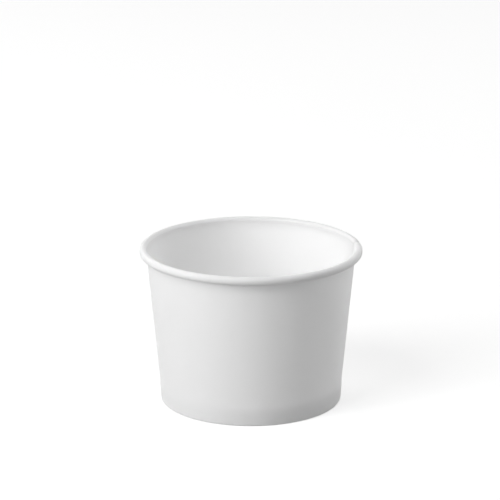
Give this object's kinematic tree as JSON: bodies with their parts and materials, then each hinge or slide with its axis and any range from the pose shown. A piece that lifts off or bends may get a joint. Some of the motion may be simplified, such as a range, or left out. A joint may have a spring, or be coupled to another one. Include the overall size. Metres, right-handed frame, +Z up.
{
  "type": "paper sundae cup",
  "caption": "Round tapered paper cup, open at the top, with a rolled rim and a raised base inside a folded foot.",
  "frame": {"origin": "centre of the foot on the surface that the cup stands on", "axes": "+Z up along the cup's axis, out of its mouth; -Y is the front in the picture; the lap seam is near +X, a little to the back"},
  "size_m": [0.098, 0.098, 0.0697],
  "materials": {
    "coated_board": "coated, soft satin",
    "base_board": "coated, soft satin"
  },
  "bodies": {
    "root": {"sidewall": "coated_board", "base_disc": "base_board"}
  },
  "joints": []
}
